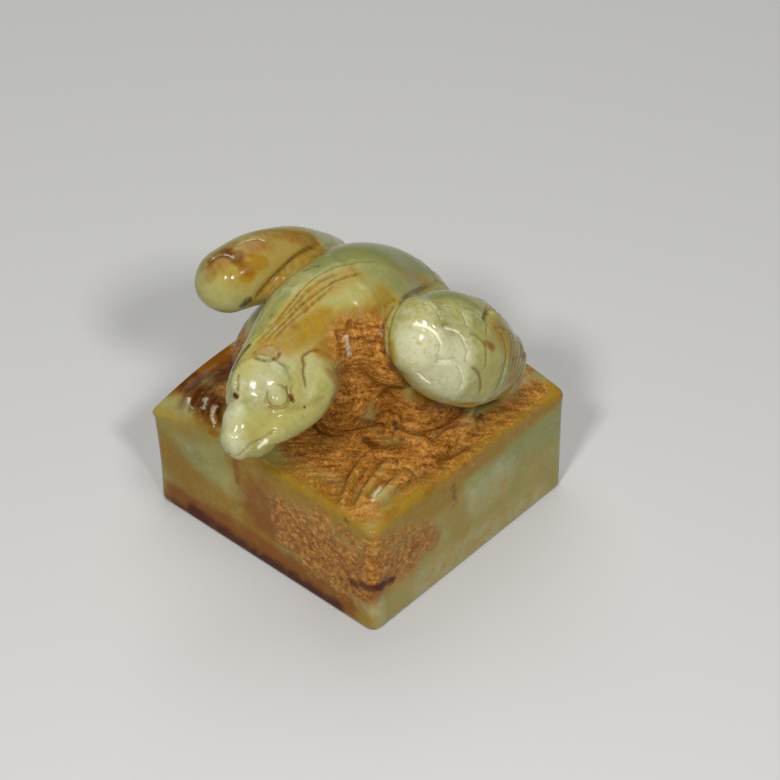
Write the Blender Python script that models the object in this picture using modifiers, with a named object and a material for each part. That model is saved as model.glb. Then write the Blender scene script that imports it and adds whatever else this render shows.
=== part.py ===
"""Jade seal stamp: a square block with a crouching bird on top, carved from one stone.

The seal face is the block's underside. The origin is at its middle, +Z is up and the bird looks
towards -Y. The bird is carved out of the block's top, so its places and radii are written in
millimetres for the carved size below, and they follow the block's width and depth and the
bird's height when those change.
"""
import bpy
import bmesh
import numpy as np

MM = 0.001

# Block
BLOCK_WIDTH = 60.0 * MM
BLOCK_DEPTH = 58.8 * MM
BLOCK_HEIGHT = 28.5 * MM
CORNER_RADIUS = 1.8 * MM
TOP_EDGE_RADIUS = 1.3 * MM
FACE_EDGE_RADIUS = 0.7 * MM

# Bird, from the block's top to its highest point
BIRD_HEIGHT = 37.9 * MM

# The size in millimetres at which the bird's places and radii below are written
CARVED = np.array([60.0, 58.8, 37.9])

# The head is turned to its left and leans over a little, and the near wing turns its face up and out
HEAD_SIDE = (0.89, 0.42, -0.14)
NEAR_WING_FACE = (0.73, 0.42, 0.53)

# Surface of the carving: its step as a share of the seal's mean size, how often it is softened,
# and how many triangles the bird is cut down to
CARVING_STEP = 0.0142
SOFTENING = 7
BIRD_FACETS = 9000

JADE = (0.50, 0.52, 0.33, 1.0)
COLLECTION = "jade_seal_stamp"


def clear_scene():
    """Remove every object of the scene."""
    for obj in list(bpy.data.objects):
        bpy.data.objects.remove(obj, do_unlink=True)


def collection(name):
    """Return a new collection linked into the scene."""
    made = bpy.data.collections.new(name)
    bpy.context.scene.collection.children.link(made)
    return made


def nephrite():
    """Polished nephrite jade: pale celadon, with a waxy gloss."""
    material = bpy.data.materials.new("nephrite_jade")
    material.use_nodes = True
    shader = material.node_tree.nodes["Principled BSDF"]
    shader.inputs["Base Color"].default_value = JADE
    shader.inputs["Roughness"].default_value = 0.28
    shader.inputs["Metallic"].default_value = 0.0
    material.diffuse_color = JADE
    return material


def unit(vectors):
    """Scale each row to length one."""
    return vectors / np.linalg.norm(vectors, axis=-1, keepdims=True)


def smooth_path(stations, count):
    """Read a smooth curve through the stations at even steps of its length.

    Between two stations each column is a cubic whose slopes are those of the line from the
    station before to the station after, so the curve bends evenly.
    """
    gaps = np.linalg.norm(np.diff(stations[:, :3], axis=0), axis=1)
    along = np.concatenate([[0.0], np.cumsum(gaps)])
    slopes = np.gradient(stations, along, axis=0)
    t = np.linspace(0.0, along[-1], count)
    i = np.clip(np.searchsorted(along, t, side="right") - 1, 0, len(gaps) - 1)
    h = gaps[i][:, None]
    s = (t - along[i])[:, None] / h
    return ((2 * s**3 - 3 * s**2 + 1) * stations[i] + (s**3 - 2 * s**2 + s) * h * slopes[i]
            + (3 * s**2 - 2 * s**3) * stations[i + 1] + (s**3 - s**2) * h * slopes[i + 1])


def carried(*stations, ends=(0.8, 0.8), squareness=2.0, facing=None, rings=26, around=24):
    """Carry an ellipse along a path, with its two ends rounded off.

    A station is (x, y, z, radius to the side, radius upwards), in carved millimetres with z
    above the block's top. Each end is closed by an elliptic cap as long as its share in `ends`
    of the end's mean radius. A squareness over 2 makes the section fuller at its corners. The
    side of the section is level, or turned as near to the direction `facing` as the path lets it.
    Returns the points and the faces of the closed form.
    """
    line = smooth_path(np.array(stations, dtype=float), rings)
    ahead = unit(np.gradient(line[:, :3], axis=0))
    turn = np.linspace(0.0, 0.5 * np.pi, 7)[1:]
    first, last = line[0], line[-1]
    caps = []
    for end, way, share in ((first, -ahead[0], ends[0]), (last, ahead[-1], ends[1])):
        reach = share * 0.5 * (end[3] + end[4])
        centre = end[:3] + np.sin(turn)[:, None] * reach * way
        radii = np.maximum(np.cos(turn)[:, None], 0.02) * end[3:]
        caps.append(np.hstack([centre, radii]))
    line = np.vstack([caps[0][::-1], line, caps[1]])
    extra = len(turn)
    ahead = np.vstack([np.repeat(ahead[:1], extra, 0), ahead, np.repeat(ahead[-1:], extra, 0)])
    side = unit(np.cross(ahead, [0.0, 0.0, 1.0]))
    if facing is not None:
        towards = np.array(facing)
        side = unit(towards - (ahead @ towards)[:, None] * ahead)
    over = np.cross(side, ahead)
    angle = np.linspace(0.0, 2 * np.pi, around, endpoint=False)
    power = 2.0 / squareness
    u = np.sign(np.cos(angle)) * np.abs(np.cos(angle)) ** power
    v = np.sign(np.sin(angle)) * np.abs(np.sin(angle)) ** power
    points = (line[:, None, :3] + line[:, None, 3:4] * u[None, :, None] * side[:, None]
              + line[:, None, 4:5] * v[None, :, None] * over[:, None])
    count = len(line)
    ring, step = np.meshgrid(np.arange(count - 1), np.arange(around), indexing="ij")
    a = ring * around + step
    b = ring * around + (step + 1) % around
    quads = np.stack([a, a + around, b + around, b], -1).reshape(-1, 4)
    faces = quads.tolist()
    faces.append(list(range(around)))
    faces.append(list(range((count - 1) * around, count * around))[::-1])
    return points.reshape(-1, 3), faces


def ball(x, y, z, across, deep, high):
    """An ellipsoid at a place, with its three radii along X, Y and Z."""
    share = np.sin(np.linspace(-0.5 * np.pi, 0.5 * np.pi, 21))[1:-1]
    centres = np.array([x, y, z]) - share[:, None] * [0.0, deep, 0.0]
    radii = np.sqrt(1 - share**2)[:, None] * [across, high]
    stations = np.hstack([centres, radii])
    return carried(*stations, ends=(0.05, 0.05))


def body():
    """The torso from the rump to the breast, the breast and flanks below it, and the tail."""
    yield carried((1.5, 22.0, 4.5, 8.0, 6.5), (-0.8, 16.2, 10.4, 10.6, 9.5),
                  (-3.0, 8.0, 16.7, 11.9, 12.3), (-1.2, -1.0, 20.0, 14.0, 15.2),
                  (2.0, -8.0, 20.0, 13.0, 15.6), ends=(0.6, 0.45))
    yield ball(3.4, -4.6, 8.0, 7.6, 12.0, 17.0)
    yield carried((12.5, -3.0, 23.0, 8.0, 9.0), (13.5, 5.0, 17.0, 8.0, 9.0),
                  (14.5, 12.0, 9.0, 8.0, 8.5), (14.5, 18.5, 2.5, 7.5, 6.0))
    yield carried((-9.0, -4.0, 23.0, 8.0, 9.0), (-10.0, 4.0, 17.0, 8.0, 9.0),
                  (-12.0, 12.0, 9.0, 8.0, 8.0), (-13.0, 19.0, 2.5, 7.0, 6.0))
    yield carried((0.5, 15.0, 9.0, 9.5, 6.0), (0.5, 21.0, 5.1, 12.0, 5.8),
                  (0.5, 26.4, 2.0, 14.0, 3.6), ends=(0.5, 0.25), squareness=2.6, rings=12)
    yield ball(0.0, 17.0, 1.5, 13.0, 9.5, 6.0)


def thighs():
    """Both thighs, bulging out below the wings and down to the block."""
    yield carried((9.0, 4.0, 18.0, 9.0, 9.0), (12.0, 5.5, 9.0, 10.0, 10.0),
                  (14.0, 6.5, 0.5, 10.0, 9.4), facing=(0.0, 1.0, 0.0))
    yield carried((-9.0, 0.0, 18.0, 9.0, 9.0), (-13.6, -4.6, 10.0, 9.6, 9.6),
                  (-16.8, -7.4, 3.0, 9.0, 9.0), (-18.0, -8.6, -1.0, 8.2, 8.2))


def neck_and_head():
    """The neck out of the shoulders, the skull with its eyes and cheeks, and the blunt beak."""
    yield carried((0.0, -5.0, 24.5, 13.0, 11.5), (-1.0, -13.0, 25.2, 10.8, 9.6),
                  (0.2, -20.0, 24.2, 9.6, 8.0), (2.2, -26.0, 23.4, 9.4, 6.8),
                  (3.8, -31.0, 23.0, 8.8, 6.5), (5.0, -34.2, 22.6, 7.8, 5.8), ends=(0.5, 0.6),
                  squareness=2.15, facing=HEAD_SIDE)
    yield ball(2.75, -31.5, 24.9, 5.8, 5.2, 5.4)
    yield carried((4.6, -33.0, 22.8, 7.4, 4.6), (6.6, -37.8, 22.5, 6.8, 4.6),
                  (8.4, -41.6, 21.8, 5.6, 4.1), (9.7, -44.4, 20.7, 3.7, 2.9), ends=(0.5, 0.8),
                  squareness=2.05, facing=HEAD_SIDE)
    yield carried((7.0, -22.5, 22.4, 6.2, 5.4), (8.2, -29.0, 21.3, 6.2, 4.6),
                  (9.6, -35.5, 20.9, 4.6, 3.6), (10.4, -40.0, 20.8, 3.0, 2.6))
    yield ball(8.0, -32.4, 26.9, 2.5, 2.5, 2.5)
    yield ball(-0.8, -34.9, 25.2, 2.4, 2.4, 2.4)


def near_wing():
    """The bird's left wing: the fat egg of the coverts, and the flight feathers behind them."""
    yield carried((19.8, -4.9, 30.4, 7.1, 8.0), (20.5, 0.2, 25.5, 9.5, 10.8),
                  (21.0, 5.2, 20.7, 10.2, 11.6), (21.4, 8.8, 17.3, 10.0, 11.3),
                  ends=(0.72, 0.25), facing=NEAR_WING_FACE)
    yield carried((21.0, 5.2, 20.7, 9.6, 10.9), (21.7, 10.2, 15.9, 9.3, 10.5),
                  (22.4, 15.4, 10.9, 7.1, 7.9), ends=(0.5, 0.74), facing=NEAR_WING_FACE)


def far_wing():
    """The bird's right wing: a rounder, slimmer bend, with its feathers running back."""
    yield carried((-19.7, -17.6, 30.2, 6.6, 6.7), (-17.8, -11.5, 30.4, 7.0, 7.6),
                  (-16.2, -5.0, 28.0, 7.2, 8.0), (-16.4, 2.0, 21.5, 7.0, 8.6),
                  (-17.8, 8.0, 14.6, 6.6, 9.0), ends=(0.95, 0.4))
    yield carried((-17.0, 1.0, 19.8, 6.4, 8.4), (-18.6, 8.0, 12.2, 6.4, 8.8),
                  (-20.4, 13.5, 6.6, 5.8, 8.0), (-22.2, 18.5, 1.6, 4.6, 6.2),
                  ends=(0.5, 0.7))


def toe(*path):
    """A toe lying on the block along three or more places, thinning into its claw."""
    thick = np.linspace(1.7, 0.7, len(path))
    lift = np.linspace(0.9, 0.1, len(path))
    return carried(*[(x, y, z, 0.8 * r, r) for (x, y), z, r in zip(path, lift, thick)],
                   rings=12, around=10)


def legs():
    """Both feet flat on the block near its front corners, and the shanks behind them."""
    yield ball(20.4, -12.0, -0.6, 6.2, 7.6, 3.4)
    yield toe((15.9, -12.3), (16.2, -18.0), (17.8, -23.0), (20.0, -27.4))
    yield toe((20.4, -13.3), (20.6, -18.0), (21.6, -22.6), (23.2, -26.7))
    yield toe((24.6, -13.6), (24.6, -18.0), (24.6, -21.5), (24.4, -24.6))
    yield carried((12.0, -4.0, 0.4, 2.0, 2.2), (18.0, -4.1, 0.9, 2.0, 2.2),
                  (24.4, -5.0, 0.4, 2.0, 2.0), rings=12, around=12)
    yield carried((24.0, -4.5, 0.2, 1.9, 1.9), (23.6, 2.0, 0.5, 1.9, 1.9),
                  (24.6, 8.0, 0.3, 1.5, 1.5), rings=12, around=12)
    yield ball(-20.0, -15.6, -0.6, 5.6, 6.8, 3.6)
    yield toe((-23.4, -17.0), (-24.2, -21.0), (-23.7, -25.4), (-22.2, -27.6))
    yield toe((-20.6, -16.4), (-21.2, -20.4), (-20.8, -24.0), (-19.6, -26.8))
    yield toe((-17.4, -17.0), (-18.4, -21.4), (-17.4, -25.2), (-15.0, -27.0))


def carved_bird(jade, helpers):
    """Join all the bird's forms into one skin, soften it and cut it down to facets."""
    scale = np.array([BLOCK_WIDTH, BLOCK_DEPTH, BIRD_HEIGHT]) / CARVED
    points, faces, start = [], [], 0
    for forms in (body, thighs, neck_and_head, near_wing, far_wing, legs):
        for corners, sides in forms():
            points.append(corners * scale)
            faces += [[start + i for i in side] for side in sides]
            start += len(corners)
    mesh = bpy.data.meshes.new("bird")
    mesh.from_pydata(np.vstack(points), [], faces)
    mesh.materials.append(jade)
    bird = bpy.data.objects.new("bird", mesh)
    bird.location.z = BLOCK_HEIGHT
    helpers.objects.link(bird)
    bird.hide_render = True
    bird.display_type = "WIRE"
    skin = bird.modifiers.new("one skin", "REMESH")
    skin.mode = "VOXEL"
    skin.voxel_size = CARVING_STEP * np.mean([BLOCK_WIDTH, BLOCK_DEPTH, BIRD_HEIGHT])
    skin.use_smooth_shade = True
    soften = bird.modifiers.new("polish", "SMOOTH")
    soften.factor = 0.5
    soften.iterations = SOFTENING
    read = bird.evaluated_get(bpy.context.evaluated_depsgraph_get()).to_mesh()
    read.calc_loop_triangles()
    fine = len(read.loop_triangles)
    facet = bird.modifiers.new("facets", "DECIMATE")
    facet.ratio = min(1.0, BIRD_FACETS / fine)
    return bird


def block(jade, parts):
    """The block, with rounded upright corners and softened edges at its top and seal face."""
    mesh = bpy.data.meshes.new("jade_seal")
    bm = bmesh.new()
    bmesh.ops.create_cube(bm, size=1.0)
    bmesh.ops.scale(bm, vec=(BLOCK_WIDTH, BLOCK_DEPTH, BLOCK_HEIGHT), verts=bm.verts)
    bmesh.ops.translate(bm, vec=(0.0, 0.0, 0.5 * BLOCK_HEIGHT), verts=bm.verts)
    upright = [e for e in bm.edges if abs(e.verts[0].co.z - e.verts[1].co.z) > 0.5 * BLOCK_HEIGHT]
    bmesh.ops.bevel(bm, geom=upright, offset=CORNER_RADIUS, segments=5, profile=0.5,
                    affect="EDGES", clamp_overlap=True)
    for height, radius in ((0.0, FACE_EDGE_RADIUS), (BLOCK_HEIGHT, TOP_EDGE_RADIUS)):
        rim = [e for e in bm.edges if all(abs(v.co.z - height) < 0.1 * FACE_EDGE_RADIUS
                                          for v in e.verts)]
        bmesh.ops.bevel(bm, geom=rim, offset=radius, segments=3, profile=0.5,
                        affect="EDGES", clamp_overlap=True)
    bm.to_mesh(mesh)
    bm.free()
    mesh.materials.append(jade)
    seal = bpy.data.objects.new("jade_seal", mesh)
    parts.objects.link(seal)
    return seal


def main():
    """Build the block and unite it with the bird."""
    clear_scene()
    parts = collection(COLLECTION)
    helpers = collection("carving_helpers")
    jade = nephrite()
    seal = block(jade, parts)
    bird = carved_bird(jade, helpers)
    union = seal.modifiers.new("one stone", "BOOLEAN")
    union.operation = "UNION"
    union.solver = "EXACT"
    union.object = bird


main()
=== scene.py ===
"""Jade seal stamp: a square block and a crouching bird as its grip, carved from one stone.

The stone is worked out in millimetres, in the frame of the solid it stands for: the seal face is
at z = 0, the bird looks towards -Y. The cuts of the carver and the stains of the stone are placed
by what the photograph shows: a place with two numbers is a pixel of the photograph, which is
carried along the camera's ray to the stone, and a place with three numbers is in millimetres.
"""
import math

import bmesh
import bpy
import numpy as np
from mathutils import Matrix, Vector
from mathutils.bvhtree import BVHTree


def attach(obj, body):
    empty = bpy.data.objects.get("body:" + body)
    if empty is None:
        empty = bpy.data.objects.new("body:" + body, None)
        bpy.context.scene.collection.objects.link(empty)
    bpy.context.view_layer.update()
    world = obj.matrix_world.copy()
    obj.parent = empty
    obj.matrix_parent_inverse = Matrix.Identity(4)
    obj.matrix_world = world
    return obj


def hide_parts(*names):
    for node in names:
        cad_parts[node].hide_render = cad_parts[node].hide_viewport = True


bl_info = {
    "name": "Jade seal stamp",
    "version": (1, 0, 0),
    "blender": (4, 5, 0),
    "location": "3D View > Sidebar > Seal",
    "description": "Carves a jade seal with a crouching bird as its grip and sets up its picture",
    "category": "Object",
}

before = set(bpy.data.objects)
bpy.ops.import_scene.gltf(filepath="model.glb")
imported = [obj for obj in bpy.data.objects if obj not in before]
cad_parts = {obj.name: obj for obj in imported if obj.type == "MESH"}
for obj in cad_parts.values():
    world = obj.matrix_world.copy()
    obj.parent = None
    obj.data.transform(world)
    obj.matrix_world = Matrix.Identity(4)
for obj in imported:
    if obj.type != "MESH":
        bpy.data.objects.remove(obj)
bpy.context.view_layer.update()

MM = 0.001

# The size in millimetres at which the bird's places and radii are written, z above the block's top
CARVED = np.array([60.0, 58.8, 37.9])

# Which way the head's and the beak's left sides, the forehead and the near wing face: the head is
# turned to its left and leans over, and the wing is turned up and out
HEAD_SIDE = (0.89, 0.42, -0.14)
BEAK_SIDE = (0.83, 0.19, 0.50)
FOREHEAD_FACE = (0.46, -0.51, 0.72)
NEAR_WING_FACE = (0.73, 0.42, 0.53)

# Camera of the photograph: it looks at a place above the seal face's middle, moved across and up
PHOTO_SIZE = 780
PHOTO_MIDDLE = 0.5 * PHOTO_SIZE
FOCAL_PIXELS = 5343.2
CAMERA_AZIMUTH = 41.951
CAMERA_ELEVATION = 43.368
CAMERA_ROLL = -0.235
CAMERA_DISTANCE = 1091.1
CAMERA_TARGET = (0.0, 0.0, 30.0)
CAMERA_SLIDE = (6.08, -1.21)
SENSOR_WIDTH = 36.0


def linear(code):
    """Turn an sRGB hex colour such as 8fa06a into linear red, green and blue."""
    shown = np.array([int(code[i:i + 2], 16) for i in (0, 2, 4)]) / 255.0
    value = np.where(shown <= 0.04045, shown / 12.92, ((shown + 0.055) / 1.055) ** 2.4)
    return tuple(float(v) for v in value)


def camera_axes():
    """Right, up and back of the camera: back leans by azimuth and elevation, then all roll."""
    azimuth, elevation, roll = (math.radians(v)
                                for v in (CAMERA_AZIMUTH, CAMERA_ELEVATION, CAMERA_ROLL))
    back = np.array([math.sin(azimuth) * math.cos(elevation),
                     -math.cos(azimuth) * math.cos(elevation), math.sin(elevation)])
    level = np.array([math.cos(azimuth), math.sin(azimuth), 0.0])
    over = np.cross(back, level)
    right = level * math.cos(roll) + over * math.sin(roll)
    up = over * math.cos(roll) - level * math.sin(roll)
    return right, up, back


def camera_place():
    """Where the camera is, in millimetres."""
    right, up, back = camera_axes()
    return (np.array(CAMERA_TARGET) + right * CAMERA_SLIDE[0] + up * CAMERA_SLIDE[1]
            + back * CAMERA_DISTANCE)


# Shapes worked out with numpy

# Steps of a quarter circle for the block's edges, and of the quarter that closes a form's end
QUARTER_TURN = np.linspace(0.0, 0.5 * np.pi, 5)
CAP_TURN = np.linspace(0.0, 0.5 * np.pi, 11)[1:]

# What is left of the radius at the tip of a form's end
CAP_TIP = 0.02

# Where the rings of a ball lie along it, their radii and how little is left for its two ends
BALL_STEPS = np.sin(np.linspace(-0.5 * np.pi, 0.5 * np.pi, 25))[1:-1]
BALL_RADII = np.sqrt(1 - BALL_STEPS**2)[:, None]
BALL_ENDS = (0.05, 0.05)


def unit(vectors):
    """Scale each row to length one."""
    return vectors / np.maximum(np.linalg.norm(vectors, axis=-1, keepdims=True), 1e-12)


def eased(value):
    """Zero below 0 and one above 1, with the cubic 3 v^2 - 2 v^3 between them."""
    v = np.clip(value, 0.0, 1.0)
    return v * v * (3.0 - 2.0 * v)


def smooth_path(stations, count):
    """Read a smooth curve through the stations at even steps of its length.

    Between two stations each column is a cubic whose slopes are those of the line from the
    station before to the station after, so the curve bends evenly.
    """
    gaps = np.linalg.norm(np.diff(stations[:, :3], axis=0), axis=1)
    along = np.concatenate([[0.0], np.cumsum(gaps)])
    slopes = np.gradient(stations, along, axis=0)
    t = np.linspace(0.0, along[-1], count)
    i = np.clip(np.searchsorted(along, t, side="right") - 1, 0, len(gaps) - 1)
    h = gaps[i][:, None]
    s = (t - along[i])[:, None] / h
    return ((2 * s**3 - 3 * s**2 + 1) * stations[i] + (s**3 - 2 * s**2 + s) * h * slopes[i]
            + (3 * s**2 - 2 * s**3) * stations[i + 1] + (s**3 - s**2) * h * slopes[i + 1])


def carried(*stations, ends=(0.8, 0.8), squareness=2.0, facing=None, rings=44, around=40):
    """Carry an ellipse along a path, with its two ends rounded off.

    A point is path(t) + r_side(t) cos(a)^p side(t) + r_up(t) sin(a)^p over(t), with p = 2 /
    squareness and the sign of each kept. A station is (x, y, z, r_side, r_up). Each end is closed
    by an elliptic cap as long as its share in `ends` of the end's mean radius. The side of the
    section is level, or turned as near to the direction `facing` as the path lets it.
    """
    line = smooth_path(np.array(stations, dtype=float), rings)
    ahead = unit(np.gradient(line[:, :3], axis=0))
    first, last = line[0], line[-1]
    caps = []
    for end, way, share in ((first, -ahead[0], ends[0]), (last, ahead[-1], ends[1])):
        reach = share * 0.5 * (end[3] + end[4])
        centre = end[:3] + np.sin(CAP_TURN)[:, None] * reach * way
        caps.append(np.hstack([centre, np.maximum(np.cos(CAP_TURN)[:, None], CAP_TIP) * end[3:]]))
    line = np.vstack([caps[0][::-1], line, caps[1]])
    extra = len(CAP_TURN)
    ahead = np.vstack([np.repeat(ahead[:1], extra, 0), ahead, np.repeat(ahead[-1:], extra, 0)])
    side = unit(np.cross(ahead, [0.0, 0.0, 1.0]))
    if facing is not None:
        towards = np.array(facing)
        side = unit(towards - (ahead @ towards)[:, None] * ahead)
    over = np.cross(side, ahead)
    angle = np.linspace(0.0, 2 * np.pi, around, endpoint=False)
    power = 2.0 / squareness
    u = np.sign(np.cos(angle)) * np.abs(np.cos(angle)) ** power
    v = np.sign(np.sin(angle)) * np.abs(np.sin(angle)) ** power
    points = (line[:, None, :3] + line[:, None, 3:4] * u[None, :, None] * side[:, None]
              + line[:, None, 4:5] * v[None, :, None] * over[:, None])
    return closed_tube(points.reshape(-1, 3), len(line), around)


def closed_tube(points, count, around):
    """Quads between the rings of a tube and one face over each end."""
    ring, step = np.meshgrid(np.arange(count - 1), np.arange(around), indexing="ij")
    a = ring * around + step
    b = ring * around + (step + 1) % around
    faces = np.stack([a, a + around, b + around, b], -1).reshape(-1, 4).tolist()
    faces.append(list(range(around)))
    faces.append(list(range((count - 1) * around, count * around))[::-1])
    return points, faces


def ball(x, y, z, across, deep, high):
    """An ellipsoid: rings whose radius is the square root of one minus the share squared."""
    centres = np.array([x, y, z]) - BALL_STEPS[:, None] * [0.0, deep, 0.0]
    return carried(*np.hstack([centres, BALL_RADII * [across, high]]), ends=BALL_ENDS)


def lens(centre, reach, thick, face):
    """An ellipsoid this thick towards its face and as wide as its reach across it."""
    face = unit(np.array(face))
    level = unit(np.array([-face[1], face[0], 0.0]))
    centres = np.array(centre) + BALL_STEPS[:, None] * reach * level
    return carried(*np.hstack([centres, BALL_RADII * [reach, thick]]), ends=BALL_ENDS,
                   facing=np.cross(face, level))


def cloud(points, size, seed):
    """A smooth random field from -1 to 1: random values on a lattice this wide, eased between."""
    side = 32
    lattice = np.random.default_rng(seed).uniform(-1.0, 1.0, (side, side, side))
    at = points / size + 0.5 * side
    low = np.floor(at).astype(int)
    part = eased(at - low)
    total = np.zeros(len(points))
    for corner in np.ndindex(2, 2, 2):
        weight = np.prod(np.where(np.array(corner), part, 1.0 - part), axis=1)
        i, j, k = ((low + corner) % side).T
        total += weight * lattice[i, j, k]
    return total


# The bird's forms, in carved millimetres


def body():
    """The torso from the rump to the breast, the breast and flanks below it, and the tail."""
    yield carried((1.5, 22, 4.5, 8, 6.5), (-0.8, 16.2, 10.4, 10.6, 9.5),
                  (-3, 8, 16.7, 11.9, 12.3), (-1.2, -1, 20, 14, 15.2),
                  (2, -8, 20, 13, 15.6), ends=(0.6, 0.45))
    yield ball(3.4, -4.6, 8, 7.6, 12, 17)
    yield carried((12.5, -3, 23, 8, 9), (13.5, 5, 17, 8, 9),
                  (14.5, 12, 9, 8, 8.5), (14.5, 18.5, 2.5, 7.5, 6))
    yield carried((-9, -4, 23, 8, 9), (-10, 4, 17, 8, 9),
                  (-12, 12, 9, 8, 8), (-13, 19, 2.5, 7, 6))
    yield carried((0.5, 15, 9, 9.5, 6), (0.5, 21, 5.1, 12, 5.8),
                  (0.5, 26.4, 2, 14, 3.6), ends=(0.5, 0.25), squareness=2.6)
    yield ball(0, 17, 1.5, 13, 9.5, 6)


def thighs():
    """Both thighs, bulging out below the wings and down to the block."""
    yield carried((9, 4, 18, 9, 9), (12, 5.5, 9, 10, 10),
                  (14, 6.5, 0.5, 10, 9.4), facing=(0, 1, 0))
    yield carried((-9, 0, 18, 9, 9), (-13.6, -4.6, 10, 9.6, 9.6),
                  (-16.8, -7.4, 3, 9, 9), (-18, -8.6, -1, 8.2, 8.2))


def neck_and_head():
    """The neck out of the shoulders, the skull with its eyes and cheeks, and the blunt beak."""
    yield carried((0, -5, 24.5, 13, 11.5), (-1, -13, 25.2, 10.8, 9.6),
                  (0.2, -20, 24.2, 9.6, 8), (2.2, -26, 23.4, 9.4, 6.8),
                  (3.8, -31, 23, 8.8, 6.5), (5, -34.2, 22.6, 7.8, 5.8), ends=(0.5, 0.6),
                  squareness=2.15, facing=HEAD_SIDE)
    yield ball(2.75, -31.5, 24.9, 5.8, 5.2, 5.4)
    yield lens((4.35, -34, 27.9), 5.9, 2.05, FOREHEAD_FACE)
    yield carried((4.4, -32.8, 21.6, 6, 6.5), (5.8, -37.5, 21.2, 5.6, 6.7),
                  (6.7, -42, 21.3, 4, 5.7), (7.1, -44.7, 21, 2.8, 3.7), ends=(0.5, 0.6),
                  facing=BEAK_SIDE)
    yield carried((7, -22.5, 22.4, 6.2, 5.4), (8.2, -29, 21.3, 6.2, 4.6),
                  (9.4, -35.2, 21.2, 4.4, 3.5), (9.6, -39.4, 21, 2.6, 2.4))
    yield ball(-0.8, -34.9, 25.2, 2.4, 2.4, 2.4)


def near_wing():
    """The bird's left wing: the fat egg of the coverts, and the flight feathers behind them."""
    yield carried((19.8, -4.9, 30.4, 7.1, 8), (20.5, 0.2, 25.5, 9.5, 10.8),
                  (21, 5.2, 20.7, 10.2, 11.6), (21.4, 8.8, 17.3, 10, 11.3),
                  ends=(0.72, 0.25), facing=NEAR_WING_FACE)
    yield carried((21, 5.2, 20.7, 9.6, 10.9), (21.7, 10.2, 15.9, 9.3, 10.5),
                  (22.4, 15.4, 10.9, 7.1, 7.9), ends=(0.5, 0.74), facing=NEAR_WING_FACE)


def far_wing():
    """The bird's right wing: a rounder, slimmer bend, with its feathers running back."""
    yield carried((-19.7, -17.6, 30.2, 6.6, 6.7), (-17.8, -11.5, 30.4, 7, 7.6),
                  (-16.2, -5, 28, 7.2, 8), (-16.4, 2, 21.5, 7, 8.6),
                  (-17.8, 8, 14.6, 6.6, 9), ends=(0.95, 0.4))
    yield carried((-17, 1, 19.8, 6.4, 8.4), (-18.6, 8, 12.2, 6.4, 8.8),
                  (-20.4, 13.5, 6.6, 5.8, 8), (-22.2, 18.5, 1.6, 4.6, 6.2),
                  ends=(0.5, 0.7))


def toe(*path):
    """A toe lying on the block along three or more places, thinning into its claw."""
    thick = np.linspace(1.8, 0.9, len(path))
    lift = np.linspace(1.2, 0.5, len(path))
    return carried(*[(x, y, z, 0.8 * r, r) for (x, y), z, r in zip(path, lift, thick)],
                   rings=20, around=16)


def legs():
    """Both feet flat on the block near its front corners, and the shanks behind them."""
    yield ball(20.4, -12, -1.3, 6.2, 7.6, 3.3)
    yield toe((15.9, -12.3), (16.2, -18), (17.8, -23), (20, -27.4))
    yield toe((20.4, -13.3), (20.6, -18), (21.6, -22.6), (23.2, -26.7))
    yield toe((24.6, -13.6), (24.6, -18), (24.6, -21.5), (24.4, -24.6))
    yield carried((12, -4, 0.4, 2, 2.2), (18, -4.1, 0.9, 2, 2.2),
                  (24.4, -5, 0.4, 2, 2), rings=20, around=20)
    yield carried((24, -4.5, 0.2, 1.9, 1.9), (23.6, 2, 0.5, 1.9, 1.9),
                  (24.6, 8, 0.3, 1.5, 1.5), rings=20, around=20)
    yield ball(-20, -15.6, -0.6, 5.6, 6.8, 3.6)
    yield toe((-23.4, -17), (-24.2, -21), (-23.7, -25.4), (-22.2, -27.6))
    yield toe((-20.6, -16.4), (-21.2, -20.4), (-20.8, -24), (-19.6, -26.8))
    yield toe((-17.4, -17), (-18.4, -21.4), (-17.4, -25.2), (-15, -27))


# The block, and one skin over block and bird

# Points round each corner of the block, and how much of a ring's inset comes off its corners'
# radius, the rest moving their centres in
CORNER_POINTS = 8
INSET_OF_RADIUS = 0.6


def block_shell(sizes):
    """Rings of a rounded rectangle, drawn in by a quarter circle at the top and the seal face.

    A corner's points are its centre plus radius times (cos a, sin a); the sides join them.
    """
    half = 0.5 * np.array([sizes.block_width, sizes.block_depth]) / MM
    height, corner = sizes.block_height / MM, sizes.corner_radius / MM
    turn = QUARTER_TURN
    low, high = sizes.face_edge_radius / MM, sizes.top_edge_radius / MM
    levels = np.concatenate([low * (1 - np.cos(turn)), height - high * (1 - np.cos(turn[::-1]))])
    inset = np.concatenate([low * (1 - np.sin(turn)), high * (1 - np.sin(turn[::-1]))])
    quarter = np.linspace(0.0, 0.5 * np.pi, CORNER_POINTS)
    angle = np.concatenate([quarter + k * 0.5 * np.pi for k in range(4)])
    sign = np.repeat([[1, 1], [-1, 1], [-1, -1], [1, -1]], CORNER_POINTS, axis=0)
    centre = sign * (half - corner)
    radius = (corner - INSET_OF_RADIUS * inset)[:, None, None]
    rim = np.stack([np.cos(angle), np.sin(angle)], -1)[None] * radius
    flat = (centre - sign * (1 - INSET_OF_RADIUS) * inset[:, None, None]) + rim
    upright = np.broadcast_to(levels[:, None, None], flat.shape[:2] + (1,))
    points = np.concatenate([flat, upright], -1)
    return closed_tube(points.reshape(-1, 3)[::-1], len(levels), len(angle))


# A worn corner of the block: its two signs, how far it flares out, wears down and reaches
CORNER_WEAR = (
    ((-1, -1), 1.7, 3.6, 7.5),
    ((1, 1), 0.5, 2.0, 6.0),
    ((1, -1), 0.0, 0.5, 4.0),
    ((-1, 1), 0.0, 1.2, 5.0),
)

# How far below the block's top its corners begin to wear down
WEAR_BELOW = 6.0


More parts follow.
